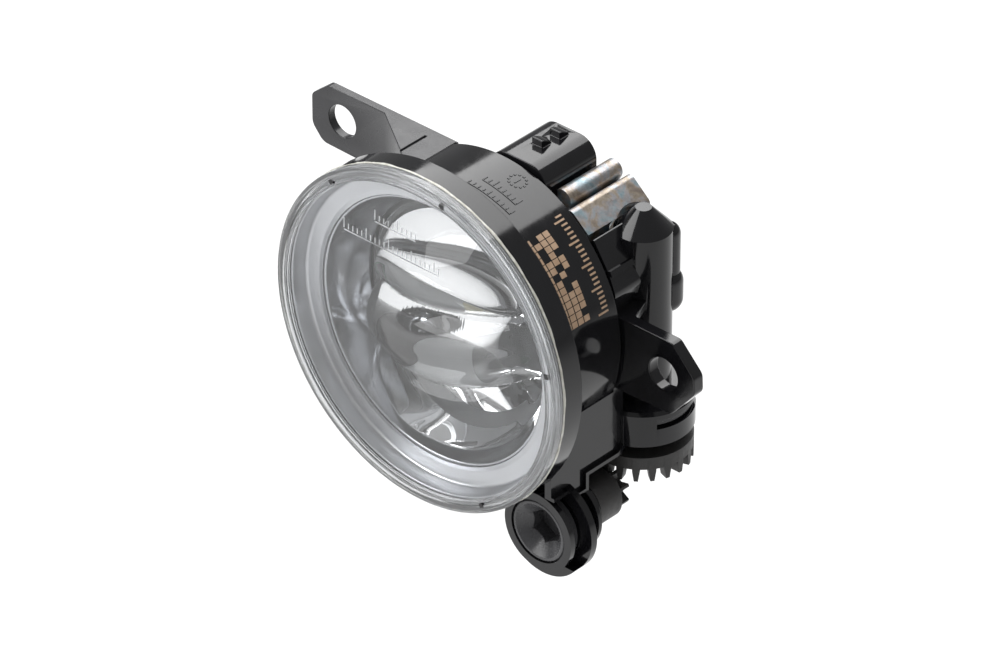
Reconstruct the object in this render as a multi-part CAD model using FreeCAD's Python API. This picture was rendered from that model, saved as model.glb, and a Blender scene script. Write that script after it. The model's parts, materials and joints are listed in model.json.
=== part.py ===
import FreeCAD, Part
import math
import os

# Round LED fog light with a front-operated aiming gear.
# Frame: +Z up, the lens faces -Y, +X is to the right seen from the front.
# Origin: centre of the lens rim, on the front plane of the lens. Millimetres.

V = FreeCAD.Vector

# ---------------------------------------------------------------- lens and housing
LENS_R = 45.0              # outer radius of the lens flange
FLANGE_T = 2.7             # thickness of the lens flange
LENS_DOME = 0.8            # how far the middle of the lens stands forward
LENS_T = 2.4               # wall of the lens
WINDOW_R = 40.5            # clear opening
RIM_R = 44.8               # front rim of the housing
RIM_REAR_Y = 10.2          # where the rim steps down to the drum
RIM_WALL = 2.65
DRUM_R = 37.8              # drum behind the rim
DRUM_REAR_Y = 31.8         # rear face of the drum, front plane of the tabs
DRUM_WALL = 2.2
LEDGE_T = 1.8              # thickness of the step between rim and drum
REAR_WALL_T = 2.5
EDGE_ROUND = 0.8           # small rounding of moulded edges

# ---------------------------------------------------------------- mounting tabs
TAB_HOLE_R = 4.4
LEFT_HOLE = (-50.9, 26.2)      # x, z
RIGHT_HOLE = (50.4, -2.3)
LEFT_TAB_Y = (30.0, 32.3)
RIGHT_TAB_Y = (31.8, 35.1)
LEFT_TAB_TOP = 34.5
RIGHT_TAB_TOP = 7.5
RIGHT_TAB_FOOT = -13.0
# outlines seen from the front as x, z and corner radius
LEFT_TAB_OUTLINE = [(-30.0, LEFT_TAB_TOP, 0), (-55.6, LEFT_TAB_TOP, 2.0), (-60.9, 30.2, 2.0),
                    (-60.9, 21.8, 3.5), (-57.4, 17.8, 3.5), (-33.0, 17.2, 0), (-25.0, 24.0, 0)]
RIGHT_TAB_OUTLINE = [(53.2, RIGHT_TAB_TOP, 2.0), (60.0, 0.6, 2.5), (60.2, -3.9, 2.5),
                     (53.0, -12.6, 2.5)]
RIGHT_SHELF_X = (39.0, 34.4)   # width at the tab and at the tube
TAB_SHELF_T = 2.4
FLARE_START_X = -37.0          # the left tab widens towards the drum from here
FLARE_END_X = -15.0
FLARE_FRONT_Y = 14.9
WEB_T = 2.7
WEB_FOOT = 3.6
WEB_BOTTOM = 19.0
GROOVE_X = -23.0
GROOVE_W = 0.6
GROOVE_FRONT_Y = 14.0

# ---------------------------------------------------------------- aiming gear
TOWER_X = 30.9
TOWER_Y = 46.6
TOWER_R = 7.2
TOWER_TOP = 29.2
CONE_FOOT = 23.6
CONE_TIP_R = 2.0
TOWER_BORE_R = 4.8
GEAR_CASE_R = 13.1
GEAR_CASE_TOP = -21.3
GEAR_CASE_BOTTOM = -30.7
CLIP_SLOT_BOTTOM = -25.9
CLIP_SLOT_TOP = -23.3
CLIP_T = 1.6
HUB_R = 8.0
HUB_TOP = -22.7
HUB_GROOVE_R = 6.5
RUNNING_GAP = 0.06         # radial clearance of a shaft that turns in a bore
CROWN_R = 12.8
CROWN_TOP = -34.1
CROWN_RIM_BOTTOM = -37.4
CROWN_TIP = -40.85
CROWN_TEETH = 20
CROWN_TOOTH_LENGTH = 2.6
SPINDLE_R = 3.0
SPINDLE_TOP = 16.0
SPINDLE_BOTTOM = -37.4
KEYWAY_W = 2.2
KEYWAY_REACH = 6.1

PINION_X = TOWER_X
CROWN_TOOTH_HALF = (0.95, 0.5)  # half thickness at the root and at the tip
CROWN_TOOTH_SHANK = 0.6         # straight part of a crown tooth below the rim
PINION_TOOTH_HALF = (0.8, 0.4)  # half thickness at the root and at the tip
TOOTH_EMBED = 0.8               # how far a tooth's blank reaches into its wheel
PINION_Z = -45.0
PINION_TEETH = 8
PINION_TIP_R = 5.8
PINION_ROOT_R = 3.6
PINION_REAR_Y = 36.3
COLLAR_R = 6.7
COLLAR_Y = (24.8, 33.2)
CUP_R = 8.8
CUP_Y = (11.3, 14.0)
JOURNAL_R = 8.4
JOURNAL_FRONT_Y = 9.7
JOURNAL_CHAMFER = 0.5
DRIVE_SHAFT_R = 5.6
DRIVE_SHAFT_STEP = 2.6     # the shaft is this much thinner inside the pinion
DRIVE_SHAFT_END_Y = 33.0
FUNNEL_LIP = 1.1
HEX_ACROSS_FLATS = 8.0
FUNNEL_DEPTH = 3.2
HEX_DEPTH = 5.0

WALL_X = (33.0, 35.0)      # side wall of the bracket
LIP_W = 1.0
BRACKET_FRONT_Y = 9.6          # starts behind the rim's cylindrical seat
BRACKET_TOP_FRONT_Y = 20.0
BRACKET_REAR_Y = 35.2
BRACKET_TOP = -8.0
BRACKET_REAR_TOP = -13.2
BRACKET_FRONT_TOP = -20.0
BRACKET_REAR_BOTTOM = -32.7
BRACKET_BOTTOM = -34.5
BRACKET_CORNER = 1.5
HOOK_BOTTOM = -37.2
FRONT_RING_R = 10.6
FRONT_RING_Y = (9.5, 11.0)
PLATE_R = 12.8
PLATE_Y = (14.4, 16.4)
WEB_HALF_W = 6.0          # left reach of the web that joins the ring and the plate
SLEEVE_R = 6.9
SLEEVE_REAR_Y = 24.5
SLEEVE_FLANGE_R = 9.4
SLEEVE_FLANGE_Y = (20.9, 22.0)
HOOK_Y = 17.7             # front edge of the wall's deepest part

# ---------------------------------------------------------------- light engine
REFLECTOR_T = 0.9
LENS_GAP = 0.3                 # between the lens and the parts behind it
BEZEL_R = 41.2             # inner radius of the reflector's upright front wall
BEZEL_FLOOR_Y = 7.4
BEZEL_T = 0.8
BOWL_LIP = 0.6
BOWL_BULGE = 1.0
BOWL_R = 34.5              # mouth of the deep bowl
BOWL_END_R = 30.5
BOWL_END_Y = 18.4
OPTIC_R = 27.5
OPTIC_Z = -7.0             # the optic's front sits below the middle of the lamp
OPTIC_NECK_R = 28.0
OPTIC_NECK_Y = 13.0
OPTIC_LIMIT_R = 32.6
JOIN = 0.5                     # overlap that makes two joined solids one
OPTIC_EDGE_Y = 12.0
OPTIC_CREASE_Y = 8.6
OPTIC_CRESTS_Y = (6.6, 4.6, 6.4)
OPTIC_CROWN_R = 40.0           # the front is also crowned from side to side
OPTIC_CROWN_Y = 4.0
OPTIC_EDGES_Z = (-31.0, -14.0, 6.0, 17.0)    # bottom, the two creases, top
OPTIC_FLANGE_R = 29.4
OPTIC_FLANGE_Y = (18.6, 20.5)
CARRIER_RING_R = (25.5, 31.5)
CARRIER_RING_REAR_Y = 22.5
CARRIER_POST_R = 2.0
CARRIER_POST_PITCH_R = 29.3
CARRIER_POST_ANGLES = (0, 110, 250)
LED_BOARD_R = 20.0
LED_BOARD_Y = (24.6, 26.2)
LED_SIZE = 3.4
LED_T = 0.8
LED_Z = (-8.0, 0.0, 8.0)
BOARD_SCREW_PITCH_R = 11.5
BOARD_SCREW_ANGLES = (180, 300, 60)
PAD_T = 0.5
PEDESTAL_R = 15.0
DRIVER_BOARD_Y = (27.0, 28.6)
DRIVER_BOARD_R = (16.6, 25.6)

# ---------------------------------------------------------------- heatsink
SINK_BASE_R = 33.5
SINK_BASE_T = 3.5
SINK_REAR_Y = 53.3
SINK_POCKET_R = 15.0
FIN_R = 36.9
FIN_T = 5.2
FIN_ANGLES = (62.5, 163, 178, 193, 208, 223, 238, 253, 268, 283, 298, 313)
SHORT_FIN_ANGLES = (76, 97, 115, 131, 147, 328, 343, 358, 13, 28)
SHORT_FIN_R = 25.5
BLOCK_FIN_ANGLE = 49.4
BLOCK_FIN_R = 37.4
BLOCK_FIN_CORNER = 1.6
BLOCK_FIN_W = 9.2
SEAL_R = (19.0, 21.0)
SEAL_T = 1.0
SINK_SCREW_PITCH_R = 29.5
SINK_SCREW_ANGLES = (40, 130, 220, 310)
SCREW_R = 1.5
SCREW_HEAD_R = 2.8
SCREW_GAP = 0.05
BOSS_R = 3.2
BOSS_FRONT_Y = 23.4
VENT_PITCH_R = 26.5
VENT_ANGLE = 175
VENT_STEM_R = 2.0

# ---------------------------------------------------------------- connector
SHROUD_X = 4.4
SHROUD_Z = 31.4
SHROUD_HALF_W = 8.8
SHROUD_HALF_H = 7.0
SHROUD_CORNER = 5.2
SHROUD_WALL = 1.7
SHROUD_REAR_Y = 50.0
SHROUD_FLOOR_Y = 35.5
PIN_PITCH = 5.0
PIN_SIZE = (2.3, 0.8)      # blade width and thickness
PIN_REAR_Y = 46.0
RAMP_SPOTS = ((4.0, 40.5), (4.5, 46.2))    # x, y of the two locking ramps


# ================================================================ shape helpers
def block(x0, x1, y0, y1, z0, z1):
    return Part.makeBox(x1 - x0, y1 - y0, z1 - z0, V(x0, y0, z0))


def rod_y(radius, y0, y1, x=0.0, z=0.0):
    return Part.makeCylinder(radius, y1 - y0, V(x, y0, z), V(0, 1, 0))


def rod_z(radius, z0, z1, x=0.0, y=0.0):
    return Part.makeCylinder(radius, z1 - z0, V(x, y, z0), V(0, 0, 1))


def tube_y(outer, inner, y0, y1, x=0.0, z=0.0):
    return rod_y(outer, y0, y1, x, z).cut(rod_y(inner, y0, y1, x, z))


def on_xz(a, b):
    return V(a, 0, b)


def on_yz(a, b):
    return V(0, a, b)


def on_xy(a, b):
    return V(a, b, 0)


def prism(outline, plane, offset, length):
    """Solid with a straight-sided outline, from offset to offset + length."""
    points = [plane(a, b).add(offset) for a, b in outline]
    return Part.Face(Part.makePolygon(points + [points[0]])).extrude(length)


def prism_x(outline, x0, x1):
    return prism(outline, on_yz, V(x0, 0, 0), V(x1 - x0, 0, 0))


def prism_y(outline, y0, y1):
    return prism(outline, on_xz, V(0, y0, 0), V(0, y1 - y0, 0))


def prism_z(outline, z0, z1):
    return prism(outline, on_xy, V(0, 0, z0), V(0, 0, z1 - z0))


def corner_arc(before, corner, after, radius):
    """Start, middle and end of the arc that rounds one corner."""
    to_before = before.sub(corner).normalize()
    to_after = after.sub(corner).normalize()
    half_angle = to_before.getAngle(to_after) / 2
    reach = radius / math.tan(half_angle)
    bisector = to_before.add(to_after).normalize()
    start = corner.add(to_before.multiply(reach))
    end = corner.add(to_after.multiply(reach))
    middle = corner.add(bisector.multiply(radius / math.sin(half_angle) - radius))
    return start, middle, end


def rounded_prism_y(corners, y0, y1):
    """Solid along Y whose outline has corners (x, z, radius)."""
    points = [V(x, y0, z) for x, z, radius in corners]
    edges = []
    first_start = None
    last_end = None
    for index, (x, z, radius) in enumerate(corners):
        if radius > 0:
            before = points[index - 1]
            after = points[(index + 1) % len(points)]
            start, middle, end = corner_arc(before, V(x, y0, z), after, radius)
            arc = Part.Arc(start, middle, end).toShape()
        else:
            start = end = points[index]
            arc = None
        if last_end is None:
            first_start = start
        else:
            edges.append(Part.LineSegment(last_end, start).toShape())
        if arc:
            edges.append(arc)
        last_end = end
    edges.append(Part.LineSegment(last_end, first_start).toShape())
    return Part.Face(Part.Wire(edges)).extrude(V(0, y1 - y0, 0))


def turned_y(profile, x=0.0, z=0.0):
    """Turned solid about an axis along Y; profile holds (radius, y)."""
    points = [V(x + radius, y, z) for radius, y in profile]
    face = Part.Face(Part.makePolygon(points + [points[0]]))
    return face.revolve(V(x, 0, z), V(0, 1, 0), 360)


def turned_z(profile, x=0.0, y=0.0):
    """Turned solid about an axis along Z; profile holds (radius, z)."""
    points = [V(x + radius, y, z) for radius, z in profile]
    face = Part.Face(Part.makePolygon(points + [points[0]]))
    return face.revolve(V(x, y, 0), V(0, 0, 1), 360)


def turn_about_y(shape, degrees):
    """Turns a shape from the +X direction towards +Z about the lamp's axis."""
    turned = shape.copy()
    turned.rotate(V(0, 0, 0), V(0, 1, 0), -degrees)
    return turned


def polar(radius, degrees):
    angle = math.radians(degrees)
    return radius * math.cos(angle), radius * math.sin(angle)


def join(shapes):
    result = shapes[0].fuse(shapes[1:]) if len(shapes) > 1 else shapes[0]
    return result.removeSplitter()


def arc_profile(points):
    """Edge through three (radius, y) points of a turned profile."""
    a, b, c = [V(radius, y, 0) for radius, y in points]
    return Part.Arc(a, b, c).toShape()


def line_profile(a, b):
    return Part.LineSegment(V(a[0], a[1], 0), V(b[0], b[1], 0)).toShape()


def turned_edges(edges):
    """Turned solid about the lamp's axis from connected profile edges."""
    face = Part.Face(Part.Wire(edges))
    return face.revolve(V(0, 0, 0), V(0, 1, 0), 360)


# ================================================================ lens and housing
def outer_lens():
    groove_r = (WINDOW_R + 1.6, WINDOW_R + 2.1)
    groove_depth = 0.35
    chamfer = 0.3
    flange = turned_y([(WINDOW_R, 0.0), (groove_r[0], 0.0), (groove_r[0], groove_depth),
                       (groove_r[1], groove_depth), (groove_r[1], 0.0), (LENS_R - chamfer, 0.0),
                       (LENS_R, chamfer), (LENS_R, FLANGE_T), (WINDOW_R, FLANGE_T)])
    ball_r = (WINDOW_R ** 2 + LENS_DOME ** 2) / (2 * LENS_DOME)
    front_ball = Part.makeSphere(ball_r, V(0, ball_r - LENS_DOME, 0))
    back_ball = Part.makeSphere(ball_r, V(0, ball_r - LENS_DOME + LENS_T, 0))
    window = rod_y(WINDOW_R, -LENS_DOME, LENS_T).common(front_ball).cut(back_ball)
    return join([flange, window])


def housing_envelope():
    """Solid outer form of the rim and the drum."""
    rim = rod_y(RIM_R, FLANGE_T, RIM_REAR_Y)
    return rim.fuse(rod_y(DRUM_R, RIM_REAR_Y, DRUM_REAR_Y))


def shroud_outline(grow):
    half_w = SHROUD_HALF_W + grow
    half_h = SHROUD_HALF_H + grow
    corner = SHROUD_CORNER + grow
    return [(SHROUD_X - half_w, SHROUD_Z - half_h, corner),
            (SHROUD_X + half_w, SHROUD_Z - half_h, corner),
            (SHROUD_X + half_w, SHROUD_Z + half_h, corner),
            (SHROUD_X - half_w, SHROUD_Z + half_h, corner)]


def housing():
    inner_r = DRUM_R - DRUM_WALL
    ledge_y = RIM_REAR_Y - LEDGE_T
    wall_front = DRUM_REAR_Y - REAR_WALL_T
    profile = [(RIM_R - RIM_WALL, FLANGE_T), (RIM_R, FLANGE_T), (RIM_R, RIM_REAR_Y - EDGE_ROUND),
               (RIM_R - EDGE_ROUND, RIM_REAR_Y), (DRUM_R, RIM_REAR_Y),
               (DRUM_R, DRUM_REAR_Y - EDGE_ROUND), (DRUM_R - EDGE_ROUND, DRUM_REAR_Y),
               (PEDESTAL_R + 0.5, DRUM_REAR_Y), (PEDESTAL_R + 0.5, wall_front),
               (inner_r, wall_front), (inner_r, ledge_y), (RIM_R - RIM_WALL, ledge_y)]
    shell = turned_y(profile)
    bosses = []
    holes = []
    for angle in SINK_SCREW_ANGLES:
        x, z = polar(SINK_SCREW_PITCH_R, angle)
        bosses.append(rod_y(BOSS_R, BOSS_FRONT_Y, wall_front, x, z))
        holes.append(rod_y(SCREW_R + SCREW_GAP, BOSS_FRONT_Y + 1.0, DRUM_REAR_Y, x, z))
    for side in (-1, 1):
        x = SHROUD_X + side * PIN_PITCH / 2
        holes.append(block(x - PIN_SIZE[0] / 2 - 0.1, x + PIN_SIZE[0] / 2 + 0.1, wall_front,
                           DRUM_REAR_Y, SHROUD_Z - 0.5, SHROUD_Z + 0.5))
    vent_x, vent_z = polar(VENT_PITCH_R, VENT_ANGLE)
    holes.append(rod_y(VENT_STEM_R + SCREW_GAP, wall_front, DRUM_REAR_Y, vent_x, vent_z))
    return join([shell] + bosses).cut(Part.Compound(holes))


# ================================================================ mounting tabs
def left_mounting_tab():
    front, rear = LEFT_TAB_Y
    top = LEFT_TAB_TOP
    plate = rounded_prism_y(LEFT_TAB_OUTLINE, front, rear)
    flare = [(FLARE_START_X, front), (FLARE_END_X, FLARE_FRONT_Y), (FLARE_END_X, rear),
             (FLARE_START_X, rear)]
    shelf = prism_z(flare, top - TAB_SHELF_T, top)
    web = prism_z([(FLARE_START_X, front), (FLARE_END_X, FLARE_FRONT_Y),
                   (FLARE_END_X, FLARE_FRONT_Y + WEB_T), (FLARE_START_X + WEB_FOOT, rear),
                   (FLARE_START_X, rear)], WEB_BOTTOM, top)
    groove = block(GROOVE_X, GROOVE_X + GROOVE_W, GROOVE_FRONT_Y, front - 0.8, top - GROOVE_W, top)
    hole = rod_y(TAB_HOLE_R, front, rear, LEFT_HOLE[0], LEFT_HOLE[1])
    tab = join([plate, shelf, web]).cut(hole).cut(groove)
    return tab.cut(housing_envelope())


def right_mounting_tab():
    front, rear = RIGHT_TAB_Y
    inner_x = WALL_X[0]
    plate = rounded_prism_y([(inner_x, RIGHT_TAB_TOP, 0)] + RIGHT_TAB_OUTLINE
                            + [(inner_x, RIGHT_TAB_FOOT, 0)], front, rear)
    shelf = prism_z([(inner_x, rear), (RIGHT_SHELF_X[0], rear), (RIGHT_SHELF_X[1], TOWER_Y),
                     (inner_x, TOWER_Y)], RIGHT_TAB_TOP - TAB_SHELF_T, RIGHT_TAB_TOP)
    hole = rod_y(TAB_HOLE_R, front, rear, RIGHT_HOLE[0], RIGHT_HOLE[1])
    return join([plate, shelf]).cut(hole).cut(tower_form())


# ================================================================ aiming gear
def tower_form():
    """Outer form of the tube with its cone top and of the gear case."""
    return turned_z([(0.0, TOWER_TOP), (CONE_TIP_R, TOWER_TOP), (TOWER_R, CONE_FOOT),
                     (TOWER_R, GEAR_CASE_TOP), (GEAR_CASE_R - EDGE_ROUND, GEAR_CASE_TOP),
                     (GEAR_CASE_R, GEAR_CASE_TOP - EDGE_ROUND), (GEAR_CASE_R, GEAR_CASE_BOTTOM),
                     (0.0, GEAR_CASE_BOTTOM)], TOWER_X, TOWER_Y)


def drum_extension():
    """Part of the drum's side that runs back to the tube, with a rib along its corner."""
    skin = rounded_prism_y([(28.2, 26.1, 0.5), (33.2, 18.4, 1.0), (35.4, 13.0, 3.0),
                            (34.2, RIGHT_TAB_TOP, 0), (31.0, RIGHT_TAB_TOP, 0), (31.6, 13.0, 3.0),
                            (30.0, 17.0, 1.0), (26.4, 23.2, 0)], DRUM_REAR_Y, TOWER_Y)
    rib = prism_y([(33.6, 19.2), (34.2, 17.8), (32.6, 17.4), (32.0, 18.8)], DRUM_REAR_Y, 43.4)
    return join([skin, rib])


def rear_lobes():
    """Two rounded lobes behind the tube that hold the spindle's keyway."""
    x = TOWER_X + 3.0
    y = TOWER_Y + 5.6
    upper = rod_z(3.0, 10.0, 20.5, x, y).fuse(Part.makeSphere(3.0, V(x, y, 20.5)))
    lower = rod_z(3.8, 2.6, 7.2, x, y).fuse(Part.makeSphere(3.8, V(x, y, 7.2)))
    return join([upper, lower, Part.makeSphere(3.8, V(x, y, 2.6))])


def adjuster_tower():
    shoulder = HUB_TOP + 0.1
    bore_top = CONE_FOOT - 1.5
    bores = [rod_z(HUB_R + RUNNING_GAP, GEAR_CASE_BOTTOM, shoulder, TOWER_X, TOWER_Y),
             rod_z(TOWER_BORE_R, shoulder, bore_top, TOWER_X, TOWER_Y),
             block(TOWER_X - KEYWAY_W / 2, TOWER_X + KEYWAY_W / 2, TOWER_Y, TOWER_Y + KEYWAY_REACH,
                   shoulder, bore_top - 0.5)]
    slot = rod_z(GEAR_CASE_R + 1, CLIP_SLOT_BOTTOM, CLIP_SLOT_TOP, TOWER_X, TOWER_Y)
    far_left = block(-10, TOWER_X - 7.0, 0, 80, CLIP_SLOT_BOTTOM, CLIP_SLOT_TOP)
    in_front = block(-10, 80, 0, TOWER_Y - 7.0, CLIP_SLOT_BOTTOM, CLIP_SLOT_TOP)
    slot = slot.cut(far_left).cut(in_front)
    solid = join([tower_form(), drum_extension(), rear_lobes()])
    return solid.cut(Part.Compound(bores)).cut(slot)


def bracket_outline():
    """Side wall of the bracket as (y, z) points, from the drum down and round."""
    return [(BRACKET_FRONT_Y, BRACKET_FRONT_TOP), (BRACKET_FRONT_Y, BRACKET_BOTTOM),
            (HOOK_Y, BRACKET_BOTTOM), (HOOK_Y, HOOK_BOTTOM),
            (SLEEVE_FLANGE_Y[1], HOOK_BOTTOM), (SLEEVE_FLANGE_Y[1], BRACKET_REAR_BOTTOM),
            (BRACKET_REAR_Y - BRACKET_CORNER, BRACKET_REAR_BOTTOM),
            (BRACKET_REAR_Y, BRACKET_REAR_BOTTOM + BRACKET_CORNER),
            (BRACKET_REAR_Y, BRACKET_REAR_TOP), (DRUM_REAR_Y, BRACKET_REAR_TOP),
            (DRUM_REAR_Y, BRACKET_TOP), (BRACKET_TOP_FRONT_Y, BRACKET_TOP)]


def bracket_lip():
    """Raised lip along the lower edge of the side wall."""
    outline = bracket_outline()
    full = prism_x(outline, WALL_X[1], WALL_X[1] + LIP_W)
    hollow = full.copy()
    hollow.translate(V(0, -LIP_W, LIP_W))
    above = block(30, 40, 0, 60, -22.0, 40)
    return full.cut(hollow).cut(above)


def adjuster_bracket():
    wall = prism_x(bracket_outline(), WALL_X[0], WALL_X[1])
    ring = rod_y(FRONT_RING_R, FRONT_RING_Y[0], FRONT_RING_Y[1], PINION_X, PINION_Z)
    plate = rod_y(PLATE_R, PLATE_Y[0], PLATE_Y[1], PINION_X, PINION_Z)
    web = rod_y(PLATE_R, FRONT_RING_Y[1] + 0.3, PLATE_Y[0], PINION_X, PINION_Z)
    web = web.common(block(PINION_X - WEB_HALF_W, 60, 0, 60, -70, PINION_Z - 8.0))
    chin = rod_y(FRONT_RING_R, FRONT_RING_Y[0], PLATE_Y[0], PINION_X, PINION_Z)
    chin = chin.common(block(PINION_X - WEB_HALF_W, 60, 0, 60, -70, PINION_Z - 7.0))
    sleeve = rod_y(SLEEVE_R, PLATE_Y[0], SLEEVE_REAR_Y, PINION_X, PINION_Z)
    flange = rod_y(SLEEVE_FLANGE_R, SLEEVE_FLANGE_Y[0], SLEEVE_FLANGE_Y[1], PINION_X, PINION_Z)
    solid = join([wall, bracket_lip(), ring, plate, web, chin, sleeve, flange])
    bores = [rod_y(DRIVE_SHAFT_R + RUNNING_GAP, PLATE_Y[0], SLEEVE_REAR_Y, PINION_X, PINION_Z),
             rod_y(CUP_R + 0.25, FRONT_RING_Y[1], PLATE_Y[0], PINION_X, PINION_Z),
             rod_y(JOURNAL_R + RUNNING_GAP, FRONT_RING_Y[0], FRONT_RING_Y[1], PINION_X, PINION_Z)]
    return solid.cut(Part.Compound(bores)).cut(housing_envelope()).cut(tower_form())


def drive_cup():
    funnel_r = JOURNAL_R - FUNNEL_LIP
    socket_r = HEX_ACROSS_FLATS / 2
    thin = DRIVE_SHAFT_R - DRIVE_SHAFT_STEP
    profile = [(0.0, JOURNAL_FRONT_Y + FUNNEL_DEPTH), (socket_r, JOURNAL_FRONT_Y + FUNNEL_DEPTH),
               (funnel_r, JOURNAL_FRONT_Y), (JOURNAL_R - JOURNAL_CHAMFER, JOURNAL_FRONT_Y),
               (JOURNAL_R, JOURNAL_FRONT_Y + JOURNAL_CHAMFER), (JOURNAL_R, CUP_Y[0]),
               (CUP_R, CUP_Y[0]), (CUP_R, CUP_Y[1]),
               (DRIVE_SHAFT_R, CUP_Y[1]), (DRIVE_SHAFT_R, SLEEVE_REAR_Y + 0.2),
               (thin, SLEEVE_REAR_Y + 0.2), (thin, DRIVE_SHAFT_END_Y),
               (0.0, DRIVE_SHAFT_END_Y)]
    cup = turned_y(profile, PINION_X, PINION_Z)
    corner_r = socket_r / math.cos(math.pi / 6)
    outline = []
    for index in range(6):
        a, b = polar(corner_r, 60 * index + 30)
        outline.append((PINION_X + a, PINION_Z + b))
    top = JOURNAL_FRONT_Y + FUNNEL_DEPTH
    socket = prism_y(outline, top - 1.0, top + HEX_DEPTH - 1.5)
    return cup.cut(socket)


def pinion_gear():
    collar = rod_y(COLLAR_R, COLLAR_Y[0], COLLAR_Y[1] - 0.8, PINION_X, PINION_Z)
    shoulder = rod_y(COLLAR_R - 0.8, COLLAR_Y[1] - 0.8, COLLAR_Y[1], PINION_X, PINION_Z)
    root = rod_y(PINION_ROOT_R, COLLAR_Y[1], PINION_REAR_Y, PINION_X, PINION_Z)
    start = PINION_ROOT_R - TOOTH_EMBED
    root_half, tip_half = PINION_TOOTH_HALF
    tooth_outline = [(start, -root_half), (PINION_ROOT_R, -root_half), (PINION_TIP_R, -tip_half),
                     (PINION_TIP_R, tip_half), (PINION_ROOT_R, root_half), (start, root_half)]
    teeth = []
    for index in range(PINION_TEETH):
        tooth = prism_y(tooth_outline, COLLAR_Y[1], PINION_REAR_Y)
        tooth.rotate(V(0, 0, 0), V(0, 1, 0), 360.0 * (index + 0.5) / PINION_TEETH)
        tooth.translate(V(PINION_X, 0, PINION_Z))
        teeth.append(tooth)
    bore = rod_y(DRIVE_SHAFT_R - DRIVE_SHAFT_STEP, 0, DRIVE_SHAFT_END_Y, PINION_X, PINION_Z)
    return join([collar, shoulder, root] + teeth).cut(bore)


def crown_gear():
    bore = SPINDLE_R + RUNNING_GAP
    profile = [(bore, CROWN_RIM_BOTTOM), (CROWN_R, CROWN_RIM_BOTTOM), (CROWN_R, CROWN_TOP),
               (HUB_R, CROWN_TOP), (HUB_R, CLIP_SLOT_BOTTOM), (HUB_GROOVE_R, CLIP_SLOT_BOTTOM),
               (HUB_GROOVE_R, CLIP_SLOT_TOP - 0.1), (HUB_R - 0.5, CLIP_SLOT_TOP - 0.1),
               (HUB_R - 0.5, HUB_TOP), (bore, HUB_TOP)]
    wheel = turned_z(profile, TOWER_X, TOWER_Y)
    teeth = []
    half_root, half_tip = CROWN_TOOTH_HALF
    blank_top = CROWN_RIM_BOTTOM + JOIN
    flank_top = CROWN_RIM_BOTTOM - CROWN_TOOTH_SHANK
    for index in range(CROWN_TEETH):
        outline = [(-half_root, blank_top), (-half_root, flank_top), (-half_tip, CROWN_TIP),
                   (half_tip, CROWN_TIP), (half_root, flank_top), (half_root, blank_top)]
        tooth = prism_y(outline, -CROWN_R + 0.02, -CROWN_R + CROWN_TOOTH_LENGTH)
        tooth.rotate(V(0, 0, 0), V(0, 0, 1), 360.0 * index / CROWN_TEETH)
        tooth.translate(V(TOWER_X, TOWER_Y, 0))
        teeth.append(tooth)
    return join([wheel] + teeth)


def gear_retaining_clip():
    top = CLIP_SLOT_TOP - 0.4
    disc = rod_z(GEAR_CASE_R - 0.9, top - CLIP_T, top, TOWER_X, TOWER_Y)
    legs_from = TOWER_X - 5.0
    disc = disc.common(block(legs_from, TOWER_X + 20, TOWER_Y - 6.9, TOWER_Y + 20, -40, 0))
    hub_space = rod_z(HUB_GROOVE_R + 0.1, -40, 0, TOWER_X, TOWER_Y)
    return disc.cut(hub_space)


def aim_spindle():
    ball_r = SPINDLE_R - 0.1
    neck_r = 2.0
    neck_z = SPINDLE_BOTTOM + 1.8 * ball_r
    rod = rod_z(SPINDLE_R, neck_z + 1.2, SPINDLE_TOP, TOWER_X, TOWER_Y)
    neck = rod_z(neck_r, SPINDLE_BOTTOM + ball_r, neck_z + 1.3, TOWER_X, TOWER_Y)
    ball = Part.makeSphere(ball_r, V(TOWER_X, TOWER_Y, SPINDLE_BOTTOM + ball_r))
    head = rod_z(TOWER_BORE_R - RUNNING_GAP, SPINDLE_TOP - 6.0, SPINDLE_TOP, TOWER_X, TOWER_Y)
    key = block(TOWER_X - 1.0, TOWER_X + 1.0, TOWER_Y, TOWER_Y + 5.9, SPINDLE_TOP - 6, SPINDLE_TOP)
    return join([rod, neck, ball, head, key])


# ================================================================ light engine
def reflector():
    skirt_y = RIM_REAR_Y - LEDGE_T
    wall = BEZEL_R + BEZEL_T
    front_y = FLANGE_T + LENS_GAP
    middle_y = (skirt_y + BOWL_END_Y) / 2
    middle_r = (BOWL_R + BOWL_END_R) / 2 + BOWL_BULGE
    inner = arc_profile([(BOWL_R, skirt_y), (middle_r, middle_y), (BOWL_END_R, BOWL_END_Y)])
    outer = arc_profile([(BOWL_END_R + REFLECTOR_T, BOWL_END_Y),
                         (middle_r + REFLECTOR_T, middle_y), (BOWL_R + REFLECTOR_T, skirt_y)])
    front = [(BOWL_R + REFLECTOR_T, skirt_y), (wall, skirt_y), (wall, front_y),
             (BEZEL_R, front_y), (BEZEL_R, BEZEL_FLOOR_Y),
             (BOWL_R + BOWL_LIP, BEZEL_FLOOR_Y), (BOWL_R, skirt_y)]
    edges = [inner, line_profile((BOWL_END_R, BOWL_END_Y), (BOWL_END_R + REFLECTOR_T, BOWL_END_Y)),
             outer]
    for start, end in zip(front[:-1], front[1:]):
        edges.append(line_profile(start, end))
    return turned_edges(edges)


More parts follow.
